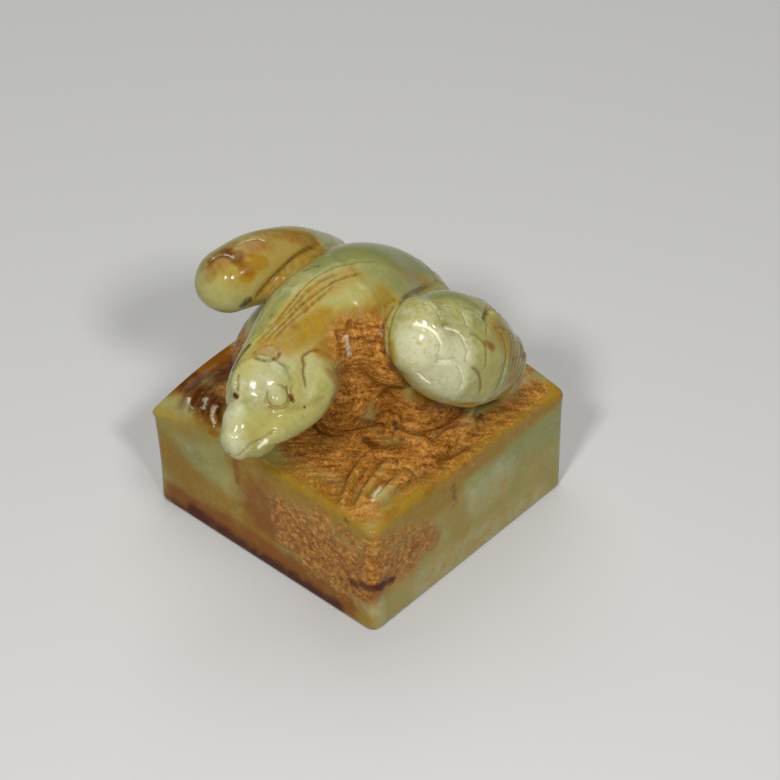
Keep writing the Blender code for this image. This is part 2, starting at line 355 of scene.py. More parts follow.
def worn_corners(points, sizes):
    """Move the block's corners: out by flare times (share of the height)^2, and down at the top.

    Both moves fade with exp(-(distance / reach)^2) from the corner's upright edge.
    """
    half = 0.5 * np.array([sizes.block_width, sizes.block_depth]) / MM
    height = sizes.block_height / MM
    moved = points.copy()
    for signs, flare, wear, reach in CORNER_WEAR:
        gap = np.linalg.norm(points[:, :2] - half * signs, axis=1)
        near = np.exp(-(gap / reach) ** 2)
        rise = np.clip(points[:, 2] / height, 0.0, 1.0)
        moved[:, :2] += (near * flare * rise**2)[:, None] * np.array(signs) / math.sqrt(2.0)
        moved[:, 2] -= near * wear * eased((points[:, 2] - height + WEAR_BELOW) / WEAR_BELOW)
    return moved


def rough_stone(sizes):
    """Join the block and the bird's forms into one skin of even quads, and rub it smooth."""
    scale = np.array([sizes.block_width, sizes.block_depth, sizes.bird_height]) / MM / CARVED
    points, faces = block_shell(sizes)
    points, start = [points], len(points)
    for forms in (body, thighs, neck_and_head, near_wing, far_wing, legs):
        for corners, sides in forms():
            points.append(corners * scale + [0.0, 0.0, sizes.block_height / MM])
            faces += [[start + i for i in side] for side in sides]
            start += len(corners)
    mesh = bpy.data.meshes.new("rough_stone")
    mesh.from_pydata(np.vstack(points), [], faces)
    obj = bpy.data.objects.new("rough_stone", mesh)
    bpy.context.scene.collection.objects.link(obj)
    skin = obj.modifiers.new("one skin", "REMESH")
    skin.mode = "VOXEL"
    skin.voxel_size = sizes.mesh_step / MM
    rub = obj.modifiers.new("rub smooth", "SMOOTH")
    rub.factor = 0.5
    rub.iterations = sizes.rubbing
    made = bpy.data.meshes.new_from_object(
        obj.evaluated_get(bpy.context.evaluated_depsgraph_get()))
    bpy.data.objects.remove(obj)
    bpy.data.meshes.remove(mesh)
    return made


def mesh_arrays(mesh, above):
    """Keep what is above a height, as points and triangles, with the cut's ring in its order."""
    bm = bmesh.new()
    bm.from_mesh(mesh)
    bpy.data.meshes.remove(mesh)
    everything = list(bm.verts) + list(bm.edges) + list(bm.faces)
    bmesh.ops.bisect_plane(bm, geom=everything, dist=1e-4, plane_co=(0, 0, above),
                           plane_no=(0, 0, 1), clear_inner=True)
    bmesh.ops.triangulate(bm, faces=list(bm.faces))
    bm.verts.index_update()
    kept = bpy.data.meshes.new("kept")
    bm.to_mesh(kept)
    ring = np.array([v.index for v in bm.verts if v.is_boundary])
    bm.free()
    points = np.empty(len(kept.vertices) * 3)
    kept.vertices.foreach_get("co", points)
    points = points.reshape(-1, 3)
    triangles = np.empty(len(kept.polygons) * 3, dtype=np.int64)
    kept.loops.foreach_get("vertex_index", triangles)
    bpy.data.meshes.remove(kept)
    order = np.argsort(np.arctan2(points[ring, 1], points[ring, 0]))
    return points, triangles.reshape(-1, 3), ring[order]


# The shares of the stone's outline at which the seal face has its rings
SEAL_FACE_RINGS = (0.97, 0.85, 0.6, 0.3)


def with_skirt(points, triangles, ring, sizes):
    """Close the stone below the cut: rings straight down, round the edge and in to the middle.

    A ring is the cut's ring, drawn in towards the axis by the edge's quarter circle, and the
    seal face's rings shrink to one point in the middle.
    """
    edge = sizes.face_edge_radius / MM
    top = points[ring, 2].mean()
    rows = np.linspace(top, edge, sizes.skirt_rows + 1)[1:]
    turn, shares = QUARTER_TURN[1:], SEAL_FACE_RINGS
    half = 0.5 * sizes.block_width / MM
    level = np.concatenate([rows, edge * (1 - np.sin(turn)), np.zeros(len(shares))])
    drawn = np.concatenate([np.ones(len(rows)), 1 - edge * (1 - np.cos(turn)) / half, shares])
    rim = points[ring, :2]
    rings = np.concatenate([rim[None] * drawn[:, None, None],
                            np.broadcast_to(level[:, None, None], (len(level), len(ring), 1))], -1)
    start = len(points)
    number = start + np.arange(len(level) * len(ring)).reshape(len(level), len(ring))
    number = np.vstack([ring, number])
    a, b = number[:-1], np.roll(number, -1, axis=1)[:-1]
    c, d = number[1:], np.roll(number, -1, axis=1)[1:]
    middle = start + rings.shape[0] * rings.shape[1]
    last = number[-1]
    fan = np.stack([last, np.full(len(last), middle), np.roll(last, -1)], -1)
    sides = np.concatenate([np.stack([a, c, b], -1).reshape(-1, 3),
                            np.stack([b, c, d], -1).reshape(-1, 3), fan])
    return (np.vstack([points, rings.reshape(-1, 3), [[0.0, 0.0, 0.0]]]),
            np.vstack([triangles, sides]))


def outward(points, triangles):
    """Each point's normal: the sum of its triangles' cross products, made length one."""
    a, b, c = (points[triangles[:, i]] for i in range(3))
    faces = np.cross(b - a, c - a)
    total = [np.bincount(triangles.ravel(), np.repeat(faces[:, i], 3), len(points))
             for i in range(3)]
    return unit(np.stack(total, -1))


def refined(points, triangles, near):
    """Halve every edge whose two ends are near a cut, and split the triangles to match."""
    pairs = np.sort(np.stack([triangles, np.roll(triangles, -1, axis=1)], -1), axis=-1)
    edges, which = np.unique(pairs.reshape(-1, 2), axis=0, return_inverse=True)
    split = near[edges].all(axis=1)
    number = np.where(split, len(points) + np.cumsum(split) - 1, -1)
    middle = number[which.reshape(-1, 3)]
    points = np.vstack([points, points[edges[split]].mean(axis=1)])
    count = (middle >= 0).sum(axis=1)
    made = [triangles[count == 0]]
    lead = np.where(count == 1, (middle >= 0).argmax(axis=1), (middle < 0).argmax(axis=1) + 1) % 3
    turned = (np.arange(3)[None] + lead[:, None]) % 3
    corner = np.take_along_axis(triangles, turned, axis=1)
    middle = np.take_along_axis(middle, turned, axis=1)
    a, b, c = corner[count == 1].T
    ab = middle[count == 1, 0]
    made += [np.stack([a, ab, c], -1), np.stack([ab, b, c], -1)]
    a, b, c = corner[count == 2].T
    ab, bc = middle[count == 2, 0], middle[count == 2, 1]
    made += [np.stack([ab, b, bc], -1), np.stack([a, ab, bc], -1), np.stack([a, bc, c], -1)]
    a, b, c = corner[count == 3].T
    ab, bc, ca = middle[count == 3].T
    made += [np.stack([a, ab, ca], -1), np.stack([ab, b, bc], -1), np.stack([ca, bc, c], -1),
             np.stack([ab, bc, ca], -1)]
    return points, np.vstack(made)


# Cuts and stains, laid on the stone


def on_stone(tree, place):
    """The stone's point that a pixel of the photograph shows, or the one nearest to a place."""
    if len(place) == 3:
        return tree.find_nearest(Vector(place))[0]
    right, up, back = camera_axes()
    ray = (-back + right * (place[0] - PHOTO_MIDDLE) / FOCAL_PIXELS
           + up * (PHOTO_MIDDLE - place[1]) / FOCAL_PIXELS)
    return tree.ray_cast(Vector(camera_place()), Vector(ray))[0]


def laid_line(tree, places, step=0.35):
    """Read a smooth curve through the places and lay its points on the stone."""
    given = np.array(places, dtype=float)
    gaps = np.linalg.norm(np.diff(given, axis=0), axis=1)
    pixel_step = step * FOCAL_PIXELS / CAMERA_DISTANCE if given.shape[1] == 2 else step
    count = max(3, int(gaps.sum() / pixel_step))
    spread = given if len(given) > 2 else np.vstack([given[0], given.mean(axis=0), given[1]])
    fine = smooth_path(np.pad(spread, ((0, 0), (0, 3 - spread.shape[1]))), count)
    laid = [on_stone(tree, p[:given.shape[1]]) for p in fine]
    return np.array([p for p in laid if p is not None])


def beside(points, line, normals=None):
    """Distance of each point to a line of points, its share along it and its side of it.

    The side is positive to the right of the line's travel, seen from outside the stone.
    """
    a, step = line[:-1], np.diff(line, axis=0)
    long = np.maximum((step**2).sum(axis=1), 1e-9)
    share = np.clip(((points[:, None] - a) * step).sum(axis=2) / long, 0.0, 1.0)
    gap = points[:, None] - a - share[:, :, None] * step
    square = (gap**2).sum(axis=2)
    best = square.argmin(axis=1)
    row = np.arange(len(points))
    along = (best + share[row, best]) / len(step)
    side = np.ones(len(points))
    if normals is not None:
        side = np.sign((np.cross(step[best], normals) * gap[row, best]).sum(axis=1))
    return np.sqrt(square[row, best]), along, side


def close_to(points, line, reach):
    """The numbers of the points in the box round a line, widened by a reach."""
    inside = ((points > line.min(axis=0) - reach) & (points < line.max(axis=0) + reach)).all(axis=1)
    return np.flatnonzero(inside)


def arc(centre, radius, first, last):
    """Pixels of a circle's arc from one angle to another, in degrees down from the right."""
    angle = np.radians(np.linspace(first, last, 13))
    return tuple(zip(centre[0] + radius * np.cos(angle), centre[1] + radius * np.sin(angle)))


# A cut is its places, then half its width, its depth, the lift of the feather on the right of its
# travel, how much wider it slopes on its left, and how strongly it holds stain, or below zero how
# strongly a painted highlight, the painted glint, lies along its bevel
NEAR_WING_CUTS = (
    # the first five arcs and the line along the lower left rim carry a painted highlight along
    # their bevels
    (((409.7, 323.5), (416.4, 324), (426, 326.5), (433.3, 331.3), (438.8, 338.6), (441.2, 345.9),
     (439.4, 353.1), (437.6, 359.2)), 0.34, 0.55, 0.45, 3, -0.95),
    (((433.9, 362.2), (443, 361.6), (451.5, 361.8), (458.8, 367.7), (462.4, 376.2), (461.2, 385.9),
     (457.5, 390.7)), 0.28, 0.42, 0.32, 2.4, -0.45),
    (((422.4, 302.9), (428.5, 303.5), (434.5, 307.7), (439.4, 314.4), (441.8, 321.6)),
     0.28, 0.44, 0.3, 2.4, -0.6),
    (((440.6, 327.7), (451.5, 328.9), (458.8, 332.5), (464.8, 342.2), (467.8, 350.7), (466.6, 358),
     (464.2, 364)), 0.3, 0.5, 0.38, 2.8, -0.75),
    (((440.6, 304.7), (450.3, 305.9), (457.5, 309.5), (463.6, 315.6), (466, 321.6),
     (466.6, 327.7)), 0.28, 0.44, 0.3, 2.4, -0.5),
    (((462.4, 307.1), (472, 309.5), (479.4, 314.4), (484.8, 321.6), (486.6, 330.1), (485.4, 335)),
     0.24, 0.34, 0.18, 1.8, 0.35),
    (((467.8, 335), (474.5, 334.4), (480.6, 338.6), (484.8, 344.7), (486.6, 355.6),
     (485.4, 370.1)), 0.24, 0.34, 0.18, 1.8, 0.35),
    (((469.7, 368.3), (475.7, 369.5), (480, 376.2), (480.6, 385.9), (480, 394.3)),
     0.24, 0.34, 0.16, 1.8, 0.6),
    (((486.6, 313.2), (492.7, 324), (500, 332.5), (505, 342), (506.5, 356), (504, 370), (499, 384),
     (492, 397)), 0.3, 0.4, 0, 1.8, 0.3),
    (((22.5, 13.5, 55.2), (24, 11.7, 56.9), (25.4, 9.5, 57.8), (26.6, 7.5, 58.3)),
     0.5, 1.3, 0, 2.6, 0.25),
    (((417, 372), (424, 379), (431, 384)), 0.24, 0.24, 0, 1.2, -0.9),
    (((453, 286), (470, 294), (485, 303)), 0.24, 0.22, 0, 1.2, 0.2),
)

FAR_WING_CUTS = (
    # the first two arcs carry a painted highlight along their bevels
    (((204.3, 268.9), (211, 260.3), (218.7, 255.5), (226.4, 254.5), (233, 257.4), (236.9, 258.4)),
     0.24, 0.36, 0.18, 2, -0.4),
    (((237.4, 245.4), (244.5, 241.6), (252.2, 239.2), (258.9, 238.7), (266.5, 242)),
     0.24, 0.34, 0.18, 2, -0.4),
    (((256, 231.6), (262.7, 231), (270.8, 235.4)), 0.22, 0.28, 0.14, 1.8, 0.2),
)

NECK_CUTS = (
    (((231, 369), (238.4, 358.5), (251, 341.6), (272, 324.8), (286, 309.4), (300.2, 291),
     (314.2, 278.5), (328.2, 270), (346.5, 264.5), (364.7, 261.7), (380, 261.7)),
     0.26, 0.4, 0.5, 2.6, 0.7),
    (((253.9, 345.8), (276.3, 324.8), (293.1, 308), (308.6, 291), (325.4, 278.5), (342.2, 272.2)),
     0.2, 0.26, 0.1, 1.2, 0.6),
    (((258, 347), (284.7, 322), (303, 303.8), (319.8, 291), (336.6, 280), (350.7, 275.7),
     (367.5, 270)), 0.2, 0.26, 0.1, 1.2, 0.7),
    (((270.7, 343), (281.9, 330.4), (296, 317.8), (308.6, 308), (319.8, 298), (336.6, 284)),
     0.2, 0.2, 0.08, 1.2, 0.6),
)

HEAD_CUTS = (
    (((237.5, 373), (236.9, 384), (236.5, 394)), 0.3, 0.4, 0.1, 1.2, 0.5),
    (((238.3, 397), (249.4, 400.5), (260.5, 405), (269.8, 410), (276, 413)),
     0.8, 0.2, 0, 1.6, 0.1),
    (arc((277.6, 395.8), 10.6, 250, 590), 0.2, 0.3, 0, 1, 0.8),
    (arc((277.9, 396.6), 13, -25, 190), 0.18, 0.22, 0, 1, 0.6),
    (arc((254, 398.6), 1.6, 0, 340), 0.22, 0.25, 0, 1, 0.1),
    (((256.5, 402.5), (261, 404.5)), 0.2, 0.2, 0, 1, 0.1),
    (((231.8, 458), (240.2, 455.2), (245.7, 450), (253.1, 444), (261, 440), (269.8, 434.5),
     (276.7, 429)), 0.3, 0.34, 0, 1.3, 0.3),
    # a painted highlight on the chipped edge of the jaw
    (((257, 449), (262.5, 444.5), (268, 439)), 0.34, 0.14, 0, 1.2, -0.8),
    (((286.4, 384), (288.3, 392.4), (292, 399), (296.6, 403.5)), 0.22, 0.32, 0, 1.2, 0.7),
    (((292.5, 384), (291, 391), (292.5, 400)), 0.2, 0.22, 0, 1.2, 0.5),
    (((284.6, 410.9), (297, 408), (304.9, 407.2), (316, 401.6), (328, 395)),
     0.6, 0.16, 0, 1.4, 0.2),
    (((323.4, 350.7), (309.5, 351.7), (303, 357.2), (304.4, 365.5), (303.5, 372), (305.4, 381.3),
     (306.3, 390.5)), 0.26, 0.34, 0, 1.5, 0.8),
    (((281.8, 350.5), (277.4, 356.8), (269.8, 360.2), (260.5, 359.6), (252.3, 356.2)),
     0.26, 0.36, 0.4, 1.2, 0.6),
    (((251.3, 354.8), (260.5, 347), (273.3, 345.5), (280.8, 350)), 0.22, 0.1, 0, 1.2, 0.4),
)

FOOT_CUTS = (
    # the first four carry a painted highlight: glints on the toes
    (((383, 487), (376, 494), (371, 502)), 0.45, 0.12, 0, 1.2, -0.5),
    (((189.4, 396.3), (188.8, 402), (193, 409.4)), 0.3, 0.35, 0.3, 1.4, -0.6),
    (((206.3, 396.3), (204.8, 404.4), (202.3, 409.4)), 0.3, 0.35, 0.3, 1.4, -0.6),
    (((217.5, 403.8), (213.1, 410), (211.9, 416.3), (213.1, 421.3), (217, 424)),
     0.3, 0.35, 0.3, 1.4, -0.6),
    (((428, 434), (440, 430), (452, 424), (463, 416), (474, 409)), 0.45, 0.5, 0, 1.5, 0.5),
    (((394.6, 425), (404, 430), (418, 434), (428, 434)), 0.35, 0.55, 0, 1.5, 0.9),
    (((340, 434), (356, 431), (372, 427), (390, 424)), 0.3, 0.45, 0, 1.5, 0.9),
    (((435, 464), (450, 456), (462, 450), (473, 445)), 0.5, 0.45, 0, 1.5, 0.8),
)

BREAST_CUTS = (
    (((337, 328), (340, 342), (344, 358)), 0.45, 0.46, 0, 1.4, 0.3),
    (((349, 318), (351, 335), (352, 352)), 0.45, 0.46, 0, 1.4, 0.3),
    # a painted highlight down the breast, in two short strokes
    (((345, 333), (348, 346), (349, 361)), 0.55, 0.2, 0, 1.3, -0.36),
    (((380, 322), (381, 330), (382, 338)), 0.3, 0.2, 0, 1.2, -0.25),
    (((386, 325), (387, 338), (388, 350)), 0.4, 0.4, 0, 1.3, 0.5),
    (((352, 418), (372, 424), (392, 425)), 0.5, 0.35, 0, 1.5, 0.7),
    *((((353, y), (358, y + 1.2), (364, y + 0.4)), 0.28, 0.22, 0, 1, 0.1)
      for y in range(323, 344, 5)),
    *((((367, y), (374, y + 1.5), (382, y + 0.5)), 0.28, 0.22, 0, 1, 0.1)
      for y in range(321, 342, 5)),
)

HATCH_CUTS = tuple(
    (((506 + 3.6 * k, 326 + 3.5 * k), (511 + 3.3 * k, 345 + 2 * k), (509 + 3.0 * k, 366),
      (502 + 3.0 * k, 388 - k)), 0.18, 0.22, 0, 1, 0.35) for k in range(6))

# The sides that the photograph doesn't show: flight feathers on both wings and on the tail
HIDDEN_CUTS = (
    *((((-26, -8 + 1.6 * k, 62 - 3.4 * k), (-27, 2 + 1.3 * k, 52 - 3 * k),
        (-27.5, 10 + k, 43 - 2 * k), (-27, 18 + 0.5 * k, 34 - 0.5 * k)), 0.32, 0.4, 0.25, 1.6, 0.4)
      for k in range(5)),
    *((((0.5 + 0.5 * x, 15, 47), (0.5 + 0.75 * x, 22, 38), (0.5 + x, 27.6, 32)),
       0.34, 0.42, 0.25, 1.6, 0.4) for x in (-10, -6, -2, 2, 6, 10)),
    *((((15 + 3.4 * k, 13 - 1.6 * k, 56 - 0.6 * k), (17 + 3 * k, 20 - 1.3 * k, 47),
        (19 + 2.4 * k, 24 - k, 38)), 0.32, 0.4, 0.25, 1.6, 0.4) for k in range(4)),
    *((((-25, y, 62 - rise), (-27, y + 3, 58 - rise), (-27, y + 2.5, 53 - rise)),
       0.3, 0.42, 0.3, 1.8, 0.4) for y, rise in ((-19, 1), (-14, 0), (-15, 6), (-9, 1), (-10, 7))),
)

CREASE_CUTS = (
    (((443, 283), (425, 288), (407, 297), (395, 309), (389, 325), (387, 345), (391, 362),
     (398, 374), (410, 387), (425, 397), (442, 403)), 0.5, 0.6, 0, 1.2, 0.55),
    (((255, 301), (263, 290), (273, 279), (285, 267), (305, 251), (322, 244)),
     0.45, 0.6, 0, 1.2, 0.6),
)

# A stain or tinge of the stone is strokes, each of them its places, how far it reaches in
# millimetres and its strength; the brown skin is the weathered outside of the pebble
BROWN_SKIN = (
    (((316, 424), (332, 428), (350, 424)), 4.2, 1),
    (((385, 425), (415, 430), (448, 428)), 4.6, 1),
    (((448, 436), (480, 424), (505, 408)), 3.4, 0.8),
    (((356, 345), (362, 375), (352, 400), (330, 425)), 8.5, 1),
    (((378, 338), (384, 385), (392, 408)), 6, 1),
    (((400, 408), (425, 420), (450, 420)), 5, 0.9),
    (((300, 447), (335, 462), (362, 470)), 6.5, 0.95),
    (((300, 466), (330, 484), (350, 497), (366, 508)), 5, 0.7),
    (((350, 440), (385, 452), (415, 455), (440, 445)), 7.5, 1),
    (((392, 478), (425, 465), (460, 445)), 6, 0.8),
    (((440, 455), (480, 430), (515, 405), (535, 388)), 4.5, 0.8),
    (((281, 506), (283, 522), (287, 540)), 4.6, 0.6),
    (((299, 518), (304, 540), (312, 560)), 6.5, 0.72),
    (((322, 528), (328, 552), (338, 575)), 7.5, 0.74),
    (((345, 542), (350, 565), (358, 588)), 6.5, 0.72),
    (((374, 548), (374, 566), (374, 583)), 4.4, 0.72),
    (((388, 544), (392, 560), (394, 575)), 5.2, 0.7),
    (((405, 537), (411, 552), (408, 566)), 5.4, 0.66),
    (((424, 531), (429, 540)), 4.4, 0.6),
    (((238, 320), (242, 345), (228, 365)), 4, 0.75),
    (((-18, -16, 31), (-8, -12, 29), (4, -18, 29)), 9, 0.9),
    (((-26, -6, 29), (-27, 8, 29), (-26, 22, 29)), 5.5, 0.8),
    (((-20, 27, 29), (0, 29, 29), (20, 27, 29)), 4.5, 0.7),
    (((-30, 22, 9), (-30, 14, 4)), 7, 0.8),
    (((0, 29, 4), (12, 29, 12), (20, 29, 8)), 7, 0.9),
)

OCHRE_STAIN = (
    (((240, 268), (262, 256), (290, 244), (308, 243)), 7, 0.62),
    (((373, 460), (360, 470), (347, 494)), 2.6, 0.9),
    (((394, 474), (376, 480), (359, 503)), 2.6, 0.9),
    (((268, 350), (298, 336), (324, 320)), 5, 0.85),
    (((285, 318), (320, 290), (350, 275)), 4, 0.6),
    (((246, 275), (252, 268), (262, 262)), 3, 1),
    (((165, 492), (200, 512), (260, 552), (330, 596), (362, 620)), 6.5, 0.9),
    (((160, 440), (185, 475), (215, 500), (262, 530)), 8, 0.95),
    (((243, 470), (290, 488), (330, 508), (352, 528)), 7, 1),
    (((374, 540), (374, 572)), 6, 0.9),
    (((385, 530), (420, 512), (450, 490)), 8, 0.9),
    (((400, 510), (440, 488), (480, 458), (530, 416), (556, 392)), 5.5, 0.95),
    (((425, 490), (452, 505), (462, 530)), 6, 0.6),
    (((400, 590), (460, 548), (540, 492)), 13, 0.42),
    (((480, 520), (530, 480)), 12, 0.38),
    (((391, 345), (394, 366), (405, 385), (422, 397), (448, 404), (478, 403)), 1.5, 0.8),
    (((500, 330), (512, 350), (516, 370), (505, 393)), 5, 0.7),
    (((325, 345), (345, 322), (370, 318), (385, 300)), 5, 0.7),
    (((405, 275), (425, 280)), 3, 0.4),
    (((160, 400), (190, 375), (230, 350)), 6, 1),
    (((160, 420), (190, 430), (215, 425)), 5, 0.6),
    (((250, 310), (262, 292), (290, 265), (318, 248)), 3.4, 0.75),
    (((-30, 10, 3), (-30, -20, 6)), 9, 0.7),
    (((-20, 29, 4), (20, 29, 6)), 10, 0.8),
    (((-24, 12, 42), (-22, 4, 50)), 8, 0.6),
    (((0, 26, 33), (6, 24, 34)), 9, 0.7),
)

STRAW_TINGE = (
    (((393, 372), (412, 392), (440, 406), (480, 406)), 2.6, 0.9),
    (((395, 300), (388, 330), (392, 355)), 2.6, 0.9),
    (((460, 290), (490, 312), (500, 330)), 3.5, 0.6),
    (((330, 395), (322, 420), (305, 440)), 2.6, 0.6),
    (((255, 430), (275, 418), (292, 408)), 4.5, 0.7),
    (((280, 440), (305, 430), (322, 410)), 5, 0.6),
    (((246, 456), (262, 447), (272, 440)), 2, 0.4),
    (((244, 365), (262, 335), (290, 308), (320, 285)), 3.4, 0.7),
    (((310, 318), (340, 300), (365, 290)), 6, 0.35),
    (((205, 290), (222, 282), (238, 276)), 6, 0.7),
    (((205, 430), (220, 462), (245, 490)), 7, 0.6),
    (((440, 560), (480, 530), (520, 500)), 6, 0.3),
    (((296, 392), (312, 372), (322, 356)), 5, 0.5),
    (((405, 300), (430, 288), (458, 290)), 4, 0.5),
    (((486, 340), (494, 360), (488, 388)), 4.5, 0.5),
)

AMBER_STAIN = (
    (((486, 343), (493, 347)), 1.2, 0.8),
    (((300, 303), (306, 309)), 1.2, 0.5),
    (((292, 324), (297, 327)), 1.2, 0.5),
    (((372, 312), (378, 308)), 1.4, 0.5),
    (((330, 372), (337, 385), (333, 398)), 1.8, 0.6),
    (((211, 431), (216, 433)), 1.2, 0.5),
    (((387, 518), (394, 510)), 1.4, 0.5),
    (((428, 491), (436, 484)), 1.3, 0.5),
    (((464, 466), (470, 464)), 1, 0.5),
    (((236, 462), (238, 484)), 1.3, 0.75),
    (((360, 375), (350, 390), (340, 402)), 4, 0.5),
    (((210, 266), (219, 255), (229, 252), (240, 257)), 1.8, 0.8),
    (((232, 258), (240, 262), (248, 270)), 2, 0.6),
    (((212, 262), (225, 255), (236, 258)), 1.5, 0.8),
    (((208, 268), (224, 254), (245, 245), (262, 242)), 4, 0.55),
    (((178, 497), (205, 513), (250, 540), (300, 572), (345, 602)), 5, 1),
    (((262, 508), (300, 538), (336, 564), (362, 580)), 10, 1),
    (((382, 572), (398, 562), (420, 543)), 5, 0.85),
    (((378, 575), (400, 560), (430, 540)), 5, 0.7),
    (((330, 350), (342, 330), (368, 322)), 4, 0.5),
    (((520, 350), (526, 366), (518, 382)), 2.6, 0.4),
    (((393, 455), (440, 448), (480, 425)), 4, 0.4),
    (((180, 384), (205, 372), (234, 350)), 6, 1),
    (((192, 392), (206, 400), (213, 412)), 5, 1),
    (((425, 404), (440, 414), (458, 412)), 5, 0.8),
    (((262, 232), (285, 234), (312, 240)), 3, 0.5),
    (((-30, 18, 4), (-30, -10, 3)), 5, 0.7),
    (((-15, 29, 3), (15, 29, 3)), 5, 0.7),
)

RUSSET_SPOTS = (
    (((210, 262), (219, 253), (231, 249), (240, 253)), 1.3, 0.55),
    (((233, 370), (240, 358), (250, 346)), 0.8, 0.8),
    (((195, 514), (240, 545), (290, 578), (335, 606)), 3.6, 1),
    (((234.5, 395), (236.5, 396.5)), 0.9, 0.9),
    (((291, 396), (292.5, 400)), 0.8, 0.9),
    (((170, 500), (200, 520)), 2, 0.7),
    (((352, 582), (374, 588), (392, 580)), 1.8, 0.9),
    (((512.7, 360.4), (518, 357), (525.4, 355.6)), 0.6, 0.45),
    (((366, 440), (374, 446)), 1.6, 0.7),
    (((192, 384), (208, 380), (226, 366)), 5, 0.75),
    (((200, 396), (213, 404)), 4, 0.6),
    (((432, 408), (444, 416), (455, 412)), 4, 0.45),
    (((216, 256), (228, 254), (238, 262)), 1.6, 0.5),
)

COOL_GREEN = (
    (((330, 256), (370, 250), (415, 268)), 8, 0.9),
    (((370, 275), (395, 280)), 5, 0.6),
    (((430, 295), (455, 293), (475, 302)), 4, 0.8),
    (((212, 436), (222, 458), (240, 480)), 5, 0.6),
    (((164, 412), (165, 440), (167, 470)), 4, 0.5),
    (((258, 333), (270, 315), (285, 298)), 2.6, 0.7),
    (((500, 470), (530, 440), (555, 420)), 10, 0.5),
    (((0, 8, 62), (0, 16, 50)), 9, 0.8),
)

PALE_JADE_AND_EDGE_HIGHLIGHT = (
    (((248, 376), (266, 376)), 6.5, 0.35),
    (((230, 412), (231, 430), (235, 448)), 4.5, 0.5),
    (((318, 352), (312, 370), (308, 388)), 2.6, 0.5),
    (((275, 390), (279, 400)), 2.2, 0.4),
    (((412, 345), (432, 352), (455, 362)), 7, 0.8),
    (((425, 375), (450, 388)), 5.5, 0.7),
    (((430, 580), (480, 540), (540, 500)), 8, 0.6),
    (((480, 500), (500, 480)), 8, 0.35),
    # painted highlight down the near upright edge of the block: the upper, narrow stroke is the
    # highlight, the lower, wider one paints the gloss further down the edge and also the stone's
    # pale tone round it
    (((374, 600), (374, 628)), 4.5, 0.5),
    (((374, 537), (374, 560)), 0.7, 0.8),
    (((265, 350), (275, 355)), 3.4, 0.6),
    (((202, 280), (205, 290)), 3.4, 0.4),
    (((373, 460), (361, 469), (351, 484), (344, 497)), 1.1, 0.35),
    (((392, 474), (377, 478), (365, 491), (357, 505)), 1.1, 0.35),
    (((395, 431), (412, 437), (428, 443)), 1.4, 0.35),
    (((431, 438), (452, 430), (472, 421)), 1.4, 0.35),
)

DARK_MARKS = (
    (((453, 486), (454.5, 494), (455, 503)), 1.2, 0.4),
    (((229.2, 453.9), (229.6, 454.2)), 0.5, 1),
    (((304.7, 407), (305.4, 407.4)), 0.45, 0.8),
    (((274, 312), (268, 322), (258, 333)), 1.2, 0.3),
    (((304, 271), (311, 268), (318, 266)), 0.7, 0.4),
    (((476, 421), (481, 415)), 1, 0.5),
    (((366, 441), (376, 447)), 1.6, 0.4),
    (((394, 424), (396, 427)), 1.2, 0.6),
    (((345, 519), (348, 523)), 0.7, 0.5),
    (((240, 312), (243, 305), (248, 300)), 1.6, 0.6),
)

PAINTS = {"brown": BROWN_SKIN, "ochre": OCHRE_STAIN, "straw": STRAW_TINGE, "amber": AMBER_STAIN,
          "russet": RUSSET_SPOTS, "cool": COOL_GREEN, "pale": PALE_JADE_AND_EDGE_HIGHLIGHT, "dark": DARK_MARKS}


def length(name, description, millimetres):
    """A length setting whose default is given in millimetres."""
    return bpy.props.FloatProperty(name=name, description=description,
                                   default=millimetres * MM, unit="LENGTH")


class SealSizes(bpy.types.PropertyGroup):
    """Sizes of the seal stone and of its carving."""

    block_width: length("Block width", "Width of the block, across the bird", 60.0)
    block_depth: length("Block depth", "Depth of the block, along the bird", 58.8)
    block_height: length("Block height", "Height of the block", 28.5)
    bird_height: length("Bird height", "Height of the bird above the block", 37.9)
    corner_radius: length("Corner radius", "Radius of the block's upright corners", 2.0)
    top_edge_radius: length("Top edge radius", "Radius of the block's upper edges", 1.5)
    face_edge_radius: length("Face edge radius", "Radius of the edges of the seal face", 0.7)
    mesh_step: length("Mesh step", "Size of the even quads of the stone's skin", 0.51)
    rubbing: bpy.props.IntProperty(
        name="Rubbing", description="How often the skin is smoothed before it is cut", default=5)
    skirt_top: length("Skirt top", "Height below which the block's sides are plain rings", 23.5)
    skirt_rows: bpy.props.IntProperty(
        name="Skirt rows", description="Rings of the block's plain sides", default=19)
    waviness: length("Waviness", "How far hand polishing left the stone from true", 0.09)
    pitting: length("Pitting", "Height of the lumps of the weathered skin", 0.11)


def colour(name, description, code):
    """A colour setting whose default is an sRGB hex colour."""
    return bpy.props.FloatVectorProperty(name=name, description=description, subtype="COLOR",
                                         default=linear(code), min=0.0, max=1.0)


